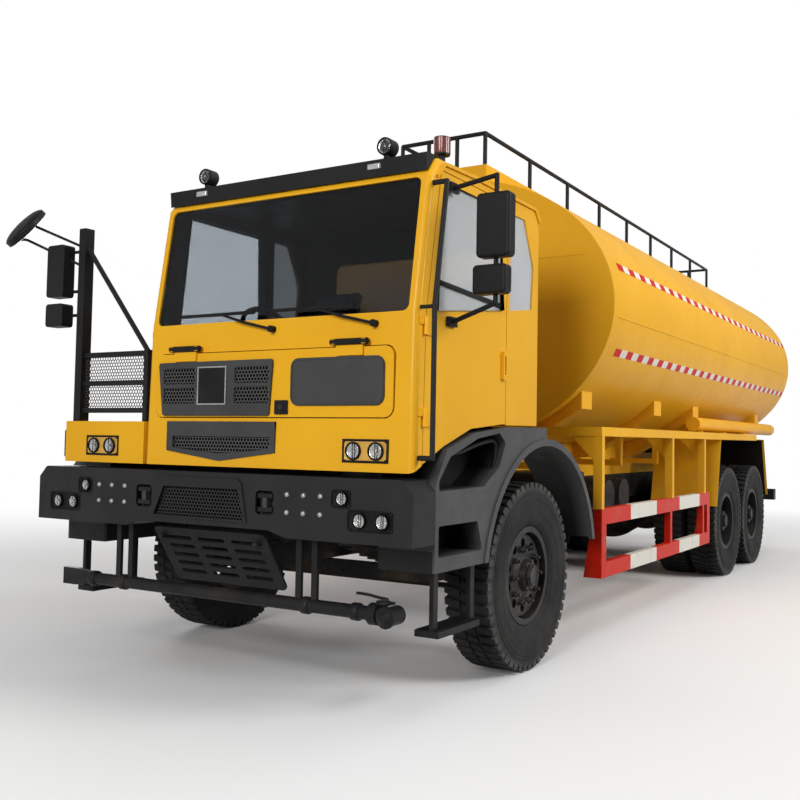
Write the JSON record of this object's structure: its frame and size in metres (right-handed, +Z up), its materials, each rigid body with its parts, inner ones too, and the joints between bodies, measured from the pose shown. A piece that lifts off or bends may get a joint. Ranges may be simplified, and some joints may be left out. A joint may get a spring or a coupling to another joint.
{
  "type": "tanker truck",
  "caption": "Off-road water tanker truck with an offset hollow cab, elliptical tank with top rails, steered front wheels, twin rear wheels, spray bar and opening doors.",
  "frame": {"origin": "on the ground under the middle of the overall box", "axes": "+X to the truck's left, +Y to the rear, +Z up"},
  "size_m": [4.076, 11.526, 4.5448],
  "materials": {
    "yellow": "gloss",
    "dark_grey": "satin",
    "black": "satin",
    "chassis_black": "matte",
    "wheel_steel": "satin",
    "tyre": "matte",
    "glass": "gloss",
    "guard_red": "gloss",
    "lamp": "gloss",
    "seat_cloth": "matte",
    "inner_grey": "matte",
    "bare_steel": "satin"
  },
  "bodies": {
    "chassis": {"bumper": "dark_grey", "cab_back": "yellow", "cab_floor": "inner_grey", "cab_front": "yellow", "cab_glass": "glass", "cab_roof": "yellow", "cab_side_left": "yellow", "cab_side_right": "yellow", "chassis_frame": "chassis_black", "dashboard": "inner_grey", "deck_guard": "black", "front_axle": "chassis_black", "front_fenders": "dark_grey", "front_lamps": "lamp", "front_mesh": "black", "guard_mesh": "black", "ladder": "black", "leaf_springs": "chassis_black", "powertrain": "chassis_black", "rear_axles": "chassis_black", "rear_bumper": "black", "right_deck": "yellow", "seats": "seat_cloth", "service_boxes": "chassis_black", "side_frames": "yellow", "side_guards": "guard_red", "skid_panel": "dark_grey", "spray_bar": "black", "tank": "yellow", "tank_coaming": "yellow", "tank_rails": "black", "tank_saddles": "yellow", "visor": "black", "wipers": "black"},
    "knuckle_left": {"knuckle_left": "chassis_black"},
    "knuckle_right": {"knuckle_right": "chassis_black"},
    "tie_rod": {"tie_rod": "chassis_black"},
    "door_left": {"door_left": "yellow", "door_glass_left": "glass", "mirror_left": "black"},
    "door_right": {"door_right": "yellow", "door_glass_right": "glass"},
    "hatch": {"hatch_panel": "yellow", "hatch_grille": "black"},
    "manhole_lid": {"manhole_lid": "yellow"},
    "wheelset_front_left": {"tyre_front_left": "tyre", "wheel_front_left": "wheel_steel"},
    "wheelset_front_right": {"tyre_front_right": "tyre", "wheel_front_right": "wheel_steel"},
    "wheelset_mid_left": {"tyre_mid_left": "tyre", "wheel_mid_left": "wheel_steel"},
    "wheelset_mid_right": {"tyre_mid_right": "tyre", "wheel_mid_right": "wheel_steel"},
    "wheelset_rear_left": {"tyre_rear_left": "tyre", "wheel_rear_left": "wheel_steel"},
    "wheelset_rear_right": {"tyre_rear_right": "tyre", "wheel_rear_right": "wheel_steel"}
  },
  "joints": [
    {"name": "steer_left", "type": "hinge", "parent": "chassis", "child": "knuckle_left", "pos_m": [1.13, -3.84, 0.685], "axis": [0, 0, 1], "range_deg": [-32, 32]},
    {"name": "steer_right", "type": "hinge", "parent": "chassis", "child": "knuckle_right", "pos_m": [-1.13, -3.84, 0.685], "axis": [0, 0, 1], "range_deg": [-32, 32]},
    {"name": "tie_rod_pivot", "type": "hinge", "parent": "knuckle_left", "child": "tie_rod", "pos_m": [1.13, -3.58, 0.545], "axis": [0, 0, 1], "range_deg": [-32, 32]},
    {"name": "spin_front_left", "type": "hinge", "parent": "knuckle_left", "child": "wheelset_front_left", "pos_m": [1.41, -3.84, 0.685], "axis": [1, 0, 0], "continuous": true},
    {"name": "spin_front_right", "type": "hinge", "parent": "knuckle_right", "child": "wheelset_front_right", "pos_m": [-1.41, -3.84, 0.685], "axis": [1, 0, 0], "continuous": true},
    {"name": "spin_mid_left", "type": "hinge", "parent": "chassis", "child": "wheelset_mid_left", "pos_m": [1.2, 2.09, 0.685], "axis": [1, 0, 0], "continuous": true},
    {"name": "spin_mid_right", "type": "hinge", "parent": "chassis", "child": "wheelset_mid_right", "pos_m": [-1.2, 2.09, 0.685], "axis": [1, 0, 0], "continuous": true},
    {"name": "spin_rear_left", "type": "hinge", "parent": "chassis", "child": "wheelset_rear_left", "pos_m": [1.2, 3.55, 0.685], "axis": [1, 0, 0], "continuous": true},
    {"name": "spin_rear_right", "type": "hinge", "parent": "chassis", "child": "wheelset_rear_right", "pos_m": [-1.2, 3.55, 0.685], "axis": [1, 0, 0], "continuous": true},
    {"name": "door_left_hinge", "type": "hinge", "parent": "chassis", "child": "door_left", "pos_m": [1.625, -5.4335, 2.4], "axis": [0, 0, -1], "range_deg": [0, 70]},
    {"name": "door_right_hinge", "type": "hinge", "parent": "chassis", "child": "door_right", "pos_m": [-0.615, -5.4335, 2.4], "axis": [0, 0, 1], "range_deg": [0, 70]},
    {"name": "hatch_hinge", "type": "hinge", "parent": "chassis", "child": "hatch", "pos_m": [0.48, -5.549, 2.256], "axis": [-1, 0, 0], "range_deg": [0, 75]},
    {"name": "lid_hinge", "type": "hinge", "parent": "chassis", "child": "manhole_lid", "pos_m": [0, 1.73, 4.262], "axis": [-1, 0, 0], "range_deg": [0, 110]}
  ],
  "couplings": [
    {"joint": "steer_right", "follows": "steer_left", "ratio": 1},
    {"joint": "tie_rod_pivot", "follows": "steer_left", "ratio": -1}
  ]
}
